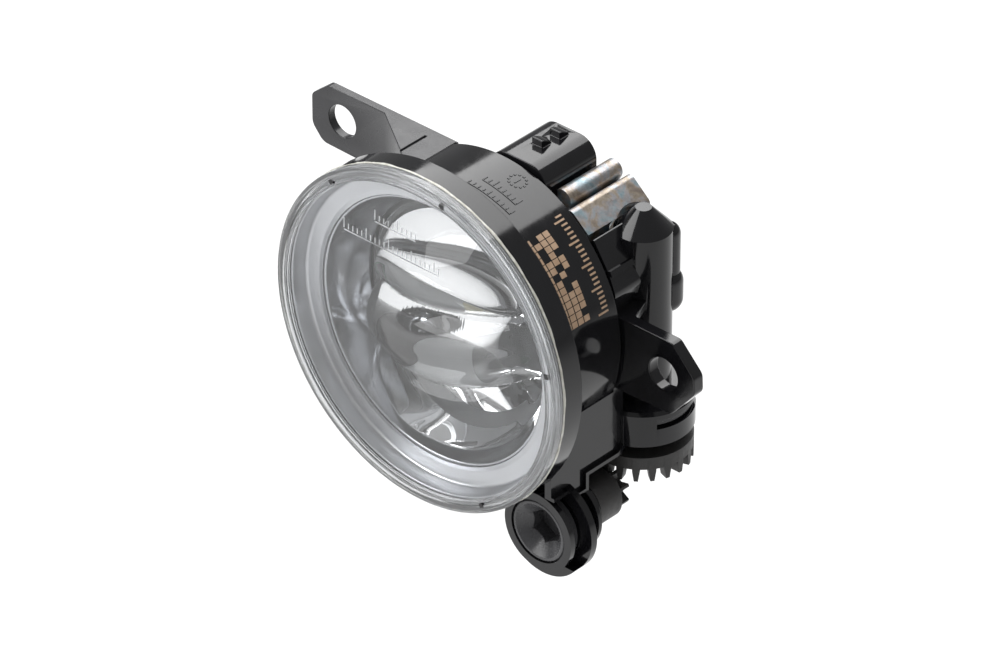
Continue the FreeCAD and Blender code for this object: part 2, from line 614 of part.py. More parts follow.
def optic_section():
    """Front-to-back section of the optic as a (y, z) face: three convex bands."""
    bottom, low, high, top = OPTIC_EDGES_Z
    corners = [(OPTIC_EDGE_Y, bottom), (OPTIC_CREASE_Y, low), (OPTIC_CREASE_Y, high),
               (OPTIC_EDGE_Y, top)]
    back = OPTIC_NECK_Y + JOIN
    edges = [Part.LineSegment(V(0, back, bottom), V(0, OPTIC_EDGE_Y, bottom)).toShape()]
    for (y0, z0), (y1, z1), crest in zip(corners[:-1], corners[1:], OPTIC_CRESTS_Y):
        arc = Part.Arc(V(0, y0, z0), V(0, crest, (z0 + z1) / 2), V(0, y1, z1))
        edges.append(arc.toShape())
    edges.append(Part.LineSegment(V(0, OPTIC_EDGE_Y, top), V(0, back, top)).toShape())
    edges.append(Part.LineSegment(V(0, back, top), V(0, back, bottom)).toShape())
    return Part.Face(Part.Wire(edges))


def projector_optic():
    section = optic_section()
    section.translate(V(-30, 0, 0))
    bands = section.extrude(V(60, 0, 0))
    crown_curve = rod_z(OPTIC_CROWN_R, -40, 30, 0, OPTIC_CROWN_Y + OPTIC_CROWN_R)
    front = bands.common(rod_y(OPTIC_R, 0, 30, 0, OPTIC_Z)).common(rod_y(OPTIC_LIMIT_R, 0, 30))
    front = front.common(crown_curve)
    neck = rod_y(OPTIC_NECK_R, OPTIC_NECK_Y, OPTIC_FLANGE_Y[0])
    flange = rod_y(OPTIC_FLANGE_R, OPTIC_FLANGE_Y[0], OPTIC_FLANGE_Y[1])
    return join([front, neck, flange])


def optic_carrier():
    inner, outer = CARRIER_RING_R
    ring = tube_y(outer, inner, OPTIC_FLANGE_Y[1], CARRIER_RING_REAR_Y)
    posts = []
    for angle in CARRIER_POST_ANGLES:
        x, z = polar(CARRIER_POST_PITCH_R, angle)
        posts.append(rod_y(CARRIER_POST_R, CARRIER_RING_REAR_Y - 0.5, DRUM_REAR_Y - REAR_WALL_T, x, z))
    return join([ring] + posts)


def led_board():
    board = rod_y(LED_BOARD_R, LED_BOARD_Y[0], LED_BOARD_Y[1])
    for angle in BOARD_SCREW_ANGLES:
        x, z = polar(BOARD_SCREW_PITCH_R, angle)
        board = board.cut(rod_y(SCREW_R + SCREW_GAP, 0, 40, x, z))
    return board


def led_emitters():
    half = LED_SIZE / 2
    front = LED_BOARD_Y[0] - LED_T
    return [block(-half, half, front, LED_BOARD_Y[0], z - half, z + half) for z in LED_Z]


def thermal_pad():
    pad = rod_y(PEDESTAL_R - 0.5, LED_BOARD_Y[1], LED_BOARD_Y[1] + PAD_T)
    for angle in BOARD_SCREW_ANGLES:
        x, z = polar(BOARD_SCREW_PITCH_R, angle)
        pad = pad.cut(rod_y(SCREW_R + SCREW_GAP, 0, 40, x, z))
    return pad


def cross_screw(x, z, head_y, head_t, length):
    """Pan-head screw along Y; the head's rear face is at head_y when head_t is negative."""
    head = rod_y(SCREW_HEAD_R, min(head_y, head_y + head_t), max(head_y, head_y + head_t), x, z)
    shank = rod_y(SCREW_R, min(head_y, head_y + length), max(head_y, head_y + length), x, z)
    drive_y = head_y + head_t
    depth = -head_t * 0.5
    arms = []
    for wide, tall in ((2.6, 0.6), (0.6, 2.6)):
        arms.append(block(x - wide / 2, x + wide / 2, min(drive_y, drive_y + depth),
                          max(drive_y, drive_y + depth), z - tall / 2, z + tall / 2))
    return join([head, shank]).cut(Part.Compound(arms))


def board_screws():
    screws = []
    for angle in BOARD_SCREW_ANGLES:
        x, z = polar(BOARD_SCREW_PITCH_R, angle)
        screws.append(cross_screw(x, z, LED_BOARD_Y[0], -1.5, 6.5))
    return screws


def driver_board():
    inner, outer = DRIVER_BOARD_R
    front, rear = DRIVER_BOARD_Y
    ring = tube_y(outer, inner, front, rear)
    half_space = block(-40, 40, front, rear, -8.0, 40)
    tongue = block(-1.0, 10.0, front, rear, inner + 4.0, 33.0)
    board = join([ring.common(half_space), tongue])
    for side in (-1, 1):
        x = SHROUD_X + side * PIN_PITCH / 2
        board = board.cut(block(x - 0.7, x + 0.7, front, rear, SHROUD_Z - 0.7, SHROUD_Z + 0.7))
    return board


def driver_components():
    front = DRIVER_BOARD_Y[0]
    inductor = turned_y([(0.0, front - 3.6), (1.6, front - 3.6), (1.6, front - 3.1),
                         (1.3, front - 2.9), (1.3, front - 0.8), (1.6, front - 0.6),
                         (1.6, front), (0.0, front)], -15.0, 17.6)
    capacitor = rod_y(1.5, front - 3.8, front, 15.6, 17.2)
    chips = [block(-22.6, -20.9, front - 1.0, front, 2.0, 6.0),
             block(-12.8, -8.8, front - 1.1, front, 20.9, 23.0),
             block(20.9, 22.8, front - 1.0, front, 4.0, 8.0),
             block(9.4, 12.4, front - 0.9, front, 20.9, 22.6)]
    return [inductor, capacitor] + chips


def board_header():
    """Plug-through header between the two boards."""
    return block(-3.5, 3.5, LED_BOARD_Y[1], DRIVER_BOARD_Y[0], 17.0, 19.2)


# ================================================================ heatsink
def keep_out():
    """Room for the tower, the gear case, the tab gusset and the connector."""
    gap = 0.9
    tower = turned_z([(0, TOWER_TOP + gap), (CONE_TIP_R + gap, TOWER_TOP + gap),
                      (TOWER_R + gap, CONE_FOOT + gap), (TOWER_R + gap, GEAR_CASE_TOP + gap),
                      (GEAR_CASE_R + gap, GEAR_CASE_TOP + gap), (GEAR_CASE_R + gap, -45),
                      (0, -45)], TOWER_X, TOWER_Y)
    lobes = rod_z(4.7, -3.0, 25.0, TOWER_X + 3.0, TOWER_Y + 5.6)
    body = prism_y([(25.6, 26.4), (25.6, 22.8), (29.2, 16.6), (30.7, 13.0), (30.2, 6.6),
                    (60.0, 6.6), (60.0, 26.4)], DRUM_REAR_Y, TOWER_Y)
    tab = block(WALL_X[0] - gap, 60, 0, 60, -60, RIGHT_TAB_TOP + gap)
    shroud = rounded_prism_y(shroud_outline(gap), 0, 60)
    above_shroud = block(-60, SHROUD_X + SHROUD_HALF_W + gap, DRUM_REAR_Y + SINK_BASE_T, 60,
                         SHROUD_Z - SHROUD_HALF_H, 60)
    return [tower, lobes, body, tab, shroud, above_shroud]


def fin(angle, reach, thickness):
    """Radial cooling fin with a round outer edge."""
    half = thickness / 2
    start_y = DRUM_REAR_Y + SINK_BASE_T - 0.5
    plate = block(SINK_POCKET_R + 0.5, reach - half, start_y, SINK_REAR_Y, -half, half)
    edge = rod_y(half, start_y, SINK_REAR_Y, reach - half, 0)
    return turn_about_y(plate.fuse(edge), angle)


def heatsink():
    base_rear = DRUM_REAR_Y + SINK_BASE_T
    base = rod_y(SINK_BASE_R, DRUM_REAR_Y, base_rear)
    core = tube_y(SINK_POCKET_R + 3.5, SINK_POCKET_R, DRUM_REAR_Y, SINK_REAR_Y - 3.0)
    pedestal = rod_y(PEDESTAL_R, LED_BOARD_Y[1] + PAD_T, base_rear + 1.5)
    pieces = [base, core, pedestal]
    pieces += [fin(angle, FIN_R, FIN_T) for angle in FIN_ANGLES]
    pieces += [fin(angle, SHORT_FIN_R, FIN_T) for angle in SHORT_FIN_ANGLES]
    half_w = BLOCK_FIN_W / 2
    big = rounded_prism_y([(SINK_POCKET_R + 2, -half_w, 0), (BLOCK_FIN_R, -half_w, BLOCK_FIN_CORNER),
                           (BLOCK_FIN_R, half_w, BLOCK_FIN_CORNER), (SINK_POCKET_R + 2, half_w, 0)],
                          DRUM_REAR_Y, SINK_REAR_Y)
    pieces.append(turn_about_y(big, BLOCK_FIN_ANGLE))
    sink = join(pieces)
    for solid in keep_out():
        sink = sink.cut(solid)
    inner, outer = SEAL_R
    sink = sink.cut(tube_y(outer, inner, DRUM_REAR_Y, DRUM_REAR_Y + SEAL_T))
    for angle in SINK_SCREW_ANGLES:
        x, z = polar(SINK_SCREW_PITCH_R, angle)
        sink = sink.cut(rod_y(SCREW_R + SCREW_GAP, DRUM_REAR_Y, base_rear, x, z))
        sink = sink.cut(rod_y(SCREW_HEAD_R + 0.6, base_rear, SINK_REAR_Y, x, z))
    for angle in BOARD_SCREW_ANGLES:
        x, z = polar(BOARD_SCREW_PITCH_R, angle)
        sink = sink.cut(rod_y(SCREW_R + SCREW_GAP, 0, DRUM_REAR_Y + 0.5, x, z))
    vent_x, vent_z = polar(VENT_PITCH_R, VENT_ANGLE)
    sink = sink.cut(rod_y(VENT_STEM_R + 2.6, DRUM_REAR_Y, SINK_REAR_Y, vent_x, vent_z))
    return max(sink.Solids, key=lambda solid: solid.Volume)


def heatsink_seal():
    inner, outer = SEAL_R
    return tube_y(outer - 0.05, inner + 0.05, DRUM_REAR_Y, DRUM_REAR_Y + SEAL_T)


def heatsink_screws():
    head_y = DRUM_REAR_Y + SINK_BASE_T
    return [cross_screw(*polar(SINK_SCREW_PITCH_R, angle), head_y, 1.8, -9.5)
            for angle in SINK_SCREW_ANGLES]


def vent_plug():
    """Breather plug in the rear wall."""
    x, z = polar(VENT_PITCH_R, VENT_ANGLE)
    stem = rod_y(VENT_STEM_R, DRUM_REAR_Y - REAR_WALL_T - 0.3, DRUM_REAR_Y + 0.5, x, z)
    cap = rod_y(VENT_STEM_R + 1.8, DRUM_REAR_Y, DRUM_REAR_Y + 3.0, x, z)
    return join([stem, cap])


# ================================================================ connector
def connector_shroud():
    outside = rounded_prism_y(shroud_outline(0), DRUM_REAR_Y, SHROUD_REAR_Y)
    inside = rounded_prism_y(shroud_outline(-SHROUD_WALL), SHROUD_FLOOR_Y, SHROUD_REAR_Y)
    shroud = outside.cut(inside)
    top = SHROUD_Z + SHROUD_HALF_H
    for x, y in RAMP_SPOTS:
        ramp = prism_x([(y - 1.6, top - 0.3), (y + 1.6, top - 0.3), (y + 1.6, top + 0.6),
                        (y - 1.0, top + 1.9), (y - 1.6, top + 1.9)], x - 1.7, x + 1.7)
        shroud = shroud.fuse(ramp)
    for side in (-1, 1):
        x = SHROUD_X + side * PIN_PITCH / 2
        shroud = shroud.cut(block(x - PIN_SIZE[0] / 2, x + PIN_SIZE[0] / 2, 0, SHROUD_FLOOR_Y,
                                  SHROUD_Z - PIN_SIZE[1] / 2, SHROUD_Z + PIN_SIZE[1] / 2))
    return shroud.removeSplitter()


def connector_pins():
    pins = []
    for side in (-1, 1):
        x = SHROUD_X + side * PIN_PITCH / 2
        blade = block(x - PIN_SIZE[0] / 2, x + PIN_SIZE[0] / 2, DRUM_REAR_Y - 2.6, PIN_REAR_Y,
                      SHROUD_Z - PIN_SIZE[1] / 2, SHROUD_Z + PIN_SIZE[1] / 2)
        tail = block(x - 0.4, x + 0.4, DRIVER_BOARD_Y[0] - 1.0, DRUM_REAR_Y - 2.0,
                     SHROUD_Z - 0.4, SHROUD_Z + 0.4)
        pins.append(join([blade, tail]))
    return pins


# ================================================================ every node
NODES = [outer_lens, housing, left_mounting_tab, right_mounting_tab, adjuster_bracket,
         adjuster_tower, drive_cup, pinion_gear, crown_gear, gear_retaining_clip, aim_spindle,
         reflector, projector_optic, optic_carrier, led_board, led_emitters, thermal_pad,
         board_screws, driver_board, driver_components, board_header, heatsink, heatsink_seal,
         heatsink_screws, vent_plug, connector_shroud, connector_pins]


def save(make):
    shape = make()
    if isinstance(shape, list):
        shape = Part.Compound(shape)
    elif len(shape.Solids) == 1:
        shape = shape.Solids[0]
    shape.exportStep("parts/" + make.__name__ + ".step")
    print(make.__name__, len(shape.Solids), shape.isValid(), round(shape.Volume, 1))


os.makedirs("parts", exist_ok=True)
for make in NODES:
    save(make)
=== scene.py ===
import math
import random

import bmesh
import bpy
from mathutils import Matrix, Vector
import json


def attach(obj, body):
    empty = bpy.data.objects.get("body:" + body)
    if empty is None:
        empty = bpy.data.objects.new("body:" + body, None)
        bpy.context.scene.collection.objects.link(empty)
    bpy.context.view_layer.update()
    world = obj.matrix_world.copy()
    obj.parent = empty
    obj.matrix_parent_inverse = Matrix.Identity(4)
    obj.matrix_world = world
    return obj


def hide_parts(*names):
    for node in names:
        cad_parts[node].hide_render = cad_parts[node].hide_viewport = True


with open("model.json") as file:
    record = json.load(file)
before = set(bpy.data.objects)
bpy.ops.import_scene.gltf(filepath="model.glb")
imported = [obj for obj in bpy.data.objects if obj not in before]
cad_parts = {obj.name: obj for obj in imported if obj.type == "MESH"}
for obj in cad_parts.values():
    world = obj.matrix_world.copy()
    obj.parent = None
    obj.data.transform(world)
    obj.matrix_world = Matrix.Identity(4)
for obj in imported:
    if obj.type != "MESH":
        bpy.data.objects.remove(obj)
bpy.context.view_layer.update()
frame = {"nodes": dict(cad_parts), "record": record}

# Fog light: lens faces -Y, +Z up, +X to the right seen from the front. Blender works in metres,
# the sizes below are in millimetres and pass through MM.
MM = 0.001
SEED = 7
BEVEL_ANGLE = 38.0     # degrees

LENS_R = 45.0
WINDOW_R = 41.6
WINDOW_T = 2.4
WINDOW_BULGE = 0.8     # how far the middle of the window stands forward
DRUM_R = 37.8
FLANGE_T = 2.7
FLOOR_Z = -0.30        # metres
FLOOR_HALF = 25.0      # metres


# ================================================================ materials
def new_material(name):
    mat = bpy.data.materials.new(name)
    mat.use_nodes = True
    tree = mat.node_tree
    shader = tree.nodes["Principled BSDF"]
    return mat, tree, shader


def coords(tree):
    """Object coordinates in millimetres."""
    where = tree.nodes.new("ShaderNodeTexCoord")
    mapping = tree.nodes.new("ShaderNodeMapping")
    mapping.inputs["Scale"].default_value = (1 / MM,) * 3
    tree.links.new(where.outputs["Object"], mapping.inputs["Vector"])
    return mapping.outputs["Vector"]


def noise(tree, size_mm, detail=3.0, roughness=0.5, distortion=0.0):
    tex = tree.nodes.new("ShaderNodeTexNoise")
    tex.inputs["Scale"].default_value = 1.0 / size_mm
    tex.inputs["Detail"].default_value = detail
    tex.inputs["Roughness"].default_value = roughness
    tex.inputs["Distortion"].default_value = distortion
    tree.links.new(coords(tree), tex.inputs["Vector"])
    return tex.outputs["Fac"]


def ramp(tree, value, stops):
    """Colour ramp; stops are (position, colour)."""
    node = tree.nodes.new("ShaderNodeValToRGB")
    elements = node.color_ramp.elements
    while len(elements) < len(stops):
        elements.new(0.5)
    for element, (position, colour) in zip(elements, stops):
        element.position = position
        if isinstance(colour, (int, float)):
            colour = (colour, colour, colour)
        element.color = (*colour, 1.0)
    tree.links.new(value, node.inputs["Fac"])
    return node.outputs["Color"]


def bump(tree, shader, height, strength, distance_mm):
    node = tree.nodes.new("ShaderNodeBump")
    node.inputs["Strength"].default_value = strength
    node.inputs["Distance"].default_value = distance_mm * MM
    tree.links.new(height, node.inputs["Height"])
    tree.links.new(node.outputs["Normal"], shader.inputs["Normal"])


def plastic(name, dark, light, rough, grain_mm, grain, colour_mm=9.0):
    """Moulded plastic: two near colours in soft patches, uneven gloss and a fine grain."""
    mat, tree, shader = new_material(name)
    patches = noise(tree, colour_mm, 4.0)
    tree.links.new(ramp(tree, patches, [(0.3, dark), (0.7, light)]), shader.inputs["Base Color"])
    wear = noise(tree, colour_mm * 0.4, 5.0, 0.6)
    tree.links.new(ramp(tree, wear, [(0.3, rough[0]), (0.75, rough[1])]), shader.inputs["Roughness"])
    bump(tree, shader, noise(tree, grain_mm, 4.0, 0.6), grain, 0.02)
    return mat


def metal(name, colours, rough, grain_mm, grain):
    mat, tree, shader = new_material(name)
    patches = noise(tree, 6.0, 5.0, 0.6)
    stops = [(0.25 + 0.5 * i / max(1, len(colours) - 1), c) for i, c in enumerate(colours)]
    tree.links.new(ramp(tree, patches, stops), shader.inputs["Base Color"])
    shader.inputs["Metallic"].default_value = 1.0
    wear = noise(tree, 2.5, 5.0, 0.65)
    tree.links.new(ramp(tree, wear, [(0.3, rough[0]), (0.75, rough[1])]), shader.inputs["Roughness"])
    bump(tree, shader, noise(tree, grain_mm, 5.0, 0.6), grain, 0.05)
    return mat


def passivated(name):
    """Die-cast aluminium with a thin passivation film: grey with blue, pink and tan patches."""
    mat, tree, shader = new_material(name)
    film = noise(tree, 5.5, 6.0, 0.62, 0.8)
    hue = ramp(tree, film, [(0.30, (0.24, 0.36, 0.42)), (0.42, (0.36, 0.43, 0.46)),
                            (0.50, (0.44, 0.42, 0.43)), (0.57, (0.42, 0.36, 0.29)),
                            (0.66, (0.30, 0.25, 0.21)), (0.78, (0.42, 0.33, 0.37))])
    dirt = ramp(tree, noise(tree, 1.2, 6.0, 0.7), [(0.35, 0.72), (0.65, 1.0)])
    mix = tree.nodes.new("ShaderNodeMix")
    mix.data_type = "RGBA"
    mix.blend_type = "MULTIPLY"
    mix.inputs["Factor"].default_value = 1.0
    tree.links.new(hue, mix.inputs["A"])
    tree.links.new(dirt, mix.inputs["B"])
    tree.links.new(mix.outputs["Result"], shader.inputs["Base Color"])
    shader.inputs["Metallic"].default_value = 0.75
    tree.links.new(ramp(tree, noise(tree, 1.5, 5.0), [(0.3, 0.32), (0.7, 0.5)]),
                   shader.inputs["Roughness"])
    bump(tree, shader, noise(tree, 0.7, 6.0, 0.65), 0.5, 0.08)
    return mat


def clear(name, tint, rough, ior, wave_mm, strength):
    """Clear moulding with a faint flow pattern."""
    mat, tree, shader = new_material(name)
    lighter = tuple(min(1, c * 1.02) for c in tint)
    flow = ramp(tree, noise(tree, wave_mm, 2.0), [(0.3, tint), (0.7, lighter)])
    tree.links.new(flow, shader.inputs["Base Color"])
    shader.inputs["Transmission Weight"].default_value = 1.0
    shader.inputs["Roughness"].default_value = rough
    shader.inputs["IOR"].default_value = ior
    bump(tree, shader, noise(tree, wave_mm, 1.0), strength, 0.02)
    return mat


def milky(name):
    """Clear flange with a faint milky haze: a pale base colour under partial transmission."""
    mat, tree, shader = new_material(name)
    haze = noise(tree, 3.0, 4.0)
    tree.links.new(ramp(tree, haze, [(0.3, (0.84, 0.86, 0.88)), (0.7, (0.94, 0.95, 0.96))]),
                   shader.inputs["Base Color"])
    shader.inputs["Transmission Weight"].default_value = 0.84
    shader.inputs["Roughness"].default_value = 0.06
    shader.inputs["IOR"].default_value = 1.45
    bump(tree, shader, noise(tree, 2.5, 2.0), 0.06, 0.02)
    return mat


MAT = {
    "gloss_black": plastic("gloss_black", (0.006, 0.006, 0.007), (0.010, 0.010, 0.012),
                           (0.07, 0.15), 1.6, 0.06),
    # satin black for the clip and the dial marks; on the left tab its lighter colour is also painted light,
    # a painted sheen for the pale floor that the tab's front reflects
    "satin_black_and_sheen": plastic("satin_black_and_sheen", (0.022, 0.022, 0.025), (0.034, 0.034, 0.038),
                           (0.22, 0.30), 1.4, 0.07),
    "matte_black": plastic("matte_black", (0.030, 0.029, 0.029), (0.045, 0.043, 0.042),
                           (0.42, 0.58), 0.35, 0.45, 4.0),
    "print_tan": plastic("print_tan", (0.50, 0.33, 0.21), (0.62, 0.43, 0.29), (0.35, 0.5), 0.3, 0.2, 2.0),
    "weld_cream": plastic("weld_cream", (0.55, 0.54, 0.46), (0.86, 0.86, 0.80), (0.15, 0.35), 0.5, 0.5, 1.6),
    "board_white": plastic("board_white", (0.54, 0.55, 0.56), (0.62, 0.63, 0.64), (0.3, 0.45), 0.5, 0.1),
    "board_green": plastic("board_green", (0.02, 0.12, 0.05), (0.03, 0.17, 0.07), (0.25, 0.4), 0.5, 0.2),
    "carrier_grey": plastic("carrier_grey", (0.22, 0.23, 0.24), (0.30, 0.31, 0.32), (0.35, 0.5), 0.5, 0.3),
    "pad_grey": plastic("pad_grey", (0.18, 0.19, 0.21), (0.26, 0.27, 0.29), (0.6, 0.8), 0.4, 0.4),
    "rubber": plastic("rubber", (0.012, 0.012, 0.012), (0.02, 0.02, 0.02), (0.5, 0.7), 0.4, 0.4),
    "cup_grey": plastic("cup_grey", (0.050, 0.050, 0.053), (0.075, 0.075, 0.080), (0.22, 0.34), 0.8, 0.2),
    # painted shade: dark grey for the sheet behind the optic
    "painted_shade_grey": plastic("painted_shade_grey", (0.035, 0.037, 0.040), (0.06, 0.062, 0.066), (0.25, 0.4), 0.6, 0.2),
    "engraved": plastic("engraved", (0.55, 0.56, 0.58), (0.75, 0.76, 0.78), (0.2, 0.35), 0.4, 0.3, 1.5),
    "bezel_satin": metal("bezel_satin", [(0.55, 0.56, 0.58), (0.58, 0.59, 0.61)], (0.30, 0.33), 8.0, 0.02),
    "emitter": plastic("emitter", (0.70, 0.66, 0.42), (0.82, 0.78, 0.55), (0.3, 0.5), 0.2, 0.2, 1.0),
    "chip": plastic("chip", (0.02, 0.02, 0.02), (0.035, 0.035, 0.035), (0.35, 0.5), 0.2, 0.3, 1.0),
    "zinc": metal("zinc", [(0.55, 0.55, 0.53), (0.68, 0.68, 0.66)], (0.22, 0.38), 0.5, 0.3),
    "brass_tin": metal("brass_tin", [(0.70, 0.62, 0.42), (0.78, 0.72, 0.55)], (0.18, 0.3), 0.5, 0.2),
    "mirror_bowl": metal("mirror_bowl", [(0.44, 0.45, 0.47), (0.48, 0.49, 0.51)], (0.20, 0.24), 8.0, 0.02),
    "passivated": passivated("passivated"),
    "flange_clear": milky("flange_clear"),
    "lens_clear": clear("lens_clear", (0.97, 0.975, 0.98), 0.0, 1.45, 12.0, 0.02),
    "optic_clear": clear("optic_clear", (0.96, 0.97, 0.975), 0.0, 1.49, 9.0, 0.03),
}


# ================================================================ mesh helpers
def make_object(name, mesh, material, angle=35.0):
    obj = bpy.data.objects.new(name, mesh)
    bpy.context.scene.collection.objects.link(obj)
    mesh.materials.clear()
    mesh.materials.append(MAT[material])
    smooth(obj, angle)
    return obj


def smooth(obj, angle):
    bm = bmesh.new()
    bm.from_mesh(obj.data)
    limit = math.radians(angle)
    for face in bm.faces:
        face.smooth = True
    for edge in bm.edges:
        edge.smooth = edge.is_manifold and edge.calc_face_angle(0.0) < limit
    bm.to_mesh(obj.data)
    bm.free()


def from_bmesh(name, bm, material, angle=35.0):
    bmesh.ops.recalc_face_normals(bm, faces=bm.faces)
    mesh = bpy.data.meshes.new(name)
    bm.to_mesh(mesh)
    bm.free()
    return make_object(name, mesh, material, angle)


def bevel(obj, width, segments=3):
    """Rounds the edges sharper than BEVEL_ANGLE; width in millimetres."""
    mod = obj.modifiers.new("round", "BEVEL")
    mod.width = width * MM
    mod.segments = segments
    mod.limit_method = "ANGLE"
    mod.angle_limit = math.radians(BEVEL_ANGLE)
    mod.use_clamp_overlap = True
    mod.harden_normals = True
    mod.miter_outer = "MITER_ARC"


def detailed(node, material, width):
    """A rounded copy of a CAD node that stands for it."""
    source = frame["nodes"][node]
    bm = bmesh.new()
    bm.from_mesh(source.data)
    bmesh.ops.remove_doubles(bm, verts=bm.verts, dist=0.002 * MM)
    bmesh.ops.dissolve_limit(bm, angle_limit=math.radians(0.4), verts=bm.verts, edges=bm.edges)
    mesh = bpy.data.meshes.new(node + "_rounded")
    bm.to_mesh(mesh)
    bm.free()
    obj = make_object(node + "_rounded", mesh, material)
    bevel(obj, width)
    finish_piece(obj, node)


def body_of(node):
    for name, members in frame["record"]["behaviour"]["bodies"].items():
        if node in members:
            return name
    return None


def finish_piece(obj, node, body=None, replace=True):
    """Rides the piece on the node's body."""
    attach(obj, body or body_of(node))
    if replace:
        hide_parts(node)


def lathe(name, profile, material, steps=256):
    """Turned piece about the Y axis; the closed profile holds (radius, y) in millimetres."""
    bm = bmesh.new()
    rings = []
    for step in range(steps):
        turn = 2 * math.pi * step / steps
        c, s = math.cos(turn), math.sin(turn)
        rings.append([bm.verts.new((r * c * MM, y * MM, r * s * MM)) for r, y in profile])
    count = len(profile)
    for step in range(steps):
        a, b = rings[step], rings[(step + 1) % steps]
        for i in range(count):
            j = (i + 1) % count
            bm.faces.new((a[i], a[j], b[j], b[i]))
    bmesh.ops.remove_doubles(bm, verts=bm.verts, dist=1e-7)
    return from_bmesh(name, bm, material)


def rounded_profile(points, radius, segments=4):
    """Closed profile with its corners rounded; a point is (r, y) or (r, y, radius)."""
    result = []
    count = len(points)
    for index, point in enumerate(points):
        corner = Vector(point[:2])
        size = point[2] if len(point) > 2 else radius
        before = Vector(points[index - 1][:2])
        after = Vector(points[(index + 1) % count][:2])
        to_before, to_after = before - corner, after - corner
        reach = min(size, to_before.length * 0.45, to_after.length * 0.45)
        if reach < 1e-4:
            result.append(tuple(corner))
            continue
        start = corner + to_before.normalized() * reach
        end = corner + to_after.normalized() * reach
        for step in range(segments + 1):
            t = step / segments
            spot = start * (1 - t) ** 2 + corner * 2 * t * (1 - t) + end * t ** 2
            result.append(tuple(spot))
    return result


# ================================================================ lens
def window_y(x, z):
    """Front of the window, crowned towards the viewer."""
    return -WINDOW_BULGE * (1 - (x * x + z * z) / (WINDOW_R * WINDOW_R))


def lens_flange():
    """Flange with a groove and two stepped edges round the window."""
    flange = lathe("lens_flange", rounded_profile(
        [(WINDOW_R, 0.0), (42.1, 0.0), (42.2, 0.45), (42.6, 0.45), (42.75, -0.1), (43.9, -0.1),
         (44.1, 0.25), (44.6, 0.25), (LENS_R, 0.6), (LENS_R, FLANGE_T), (43.6, FLANGE_T),
         (43.4, 2.2), (42.4, 2.2), (42.2, FLANGE_T), (WINDOW_R, FLANGE_T), (WINDOW_R, WINDOW_T)], 0.15, 3),
        "flange_clear")
    finish_piece(flange, "outer_lens")


def lens_window():
    """Front and rear skins of the crowned window."""
    steps, rings = 256, 24
    bm = bmesh.new()
    for offset in (0.0, WINDOW_T):
        previous = [bm.verts.new((0, (offset + window_y(0, 0)) * MM, 0))]
        for index in range(1, rings + 1):
            r = WINDOW_R * index / rings
            y = offset + window_y(r, 0)
            ring = [bm.verts.new((r * math.cos(2 * math.pi * s / steps) * MM, y * MM,
                                  r * math.sin(2 * math.pi * s / steps) * MM)) for s in range(steps)]
            for s in range(steps):
                t = (s + 1) % steps
                if len(previous) == 1:
                    bm.faces.new((previous[0], ring[s], ring[t]))
                else:
                    bm.faces.new((previous[s], ring[s], ring[t], previous[t]))
            previous = ring
    window = from_bmesh("lens_window", bm, "lens_clear")
    finish_piece(window, "outer_lens", replace=False)


# ================================================================ light engine
OPTIC_Z = -7.0
OPTIC_HALF = (27.2, 24.0)          # half width and half height of the pillow-shaped front
OPTIC_LIMIT_R = 32.2
OPTIC_NECK_R = 28.0
OPTIC_FLANGE = (29.4, 18.6, 20.5)  # radius, front and rear
OPTIC_CORNER = 2.7                 # exponent of the outline, 2 is an ellipse
OPTIC_CRESTS = (5.4, 4.0, 4.8)     # depth of each lobe's crest, from the bottom up
OPTIC_CREASE_Y = 9.4
OPTIC_CROWN = 85.0                 # the larger, the flatter from side to side
OPTIC_EDGE = 0.90                  # the edge starts to round off here
OPTIC_EDGE_DROP = 2.6


def optic_outline(turn):
    """Point on the optic's front outline in the direction turn."""
    c, s = math.cos(turn), math.sin(turn)
    wide, high = OPTIC_HALF
    reach = (abs(c / wide) ** OPTIC_CORNER + abs(s / high) ** OPTIC_CORNER) ** (-1 / OPTIC_CORNER)
    x, z = reach * c, OPTIC_Z + reach * s
    far = math.hypot(x, z)
    if far > OPTIC_LIMIT_R:
        x, z = x * OPTIC_LIMIT_R / far, z * OPTIC_LIMIT_R / far
    return x, z


def optic_front(x, z, share):
    """Depth of the optic's front: three crowned lobes between two slanted creases."""
    creases = (-39.0, -15.8 + 0.20 * x + 0.007 * x * x, 5.4 + 0.22 * x, 25.0)
    crown = x * x / OPTIC_CROWN
    depth = OPTIC_CREASE_Y + crown
    for low, high, crest in zip(creases[:-1], creases[1:], OPTIC_CRESTS):
        if low <= z <= high:
            u = (z - low) / (high - low)
            depth = crest + crown + (OPTIC_CREASE_Y - crest) * (1 - 4 * u * (1 - u)) ** 1.25
    edge = max(0.0, (share - OPTIC_EDGE) / (1 - OPTIC_EDGE))
    return depth + OPTIC_EDGE_DROP * edge * edge


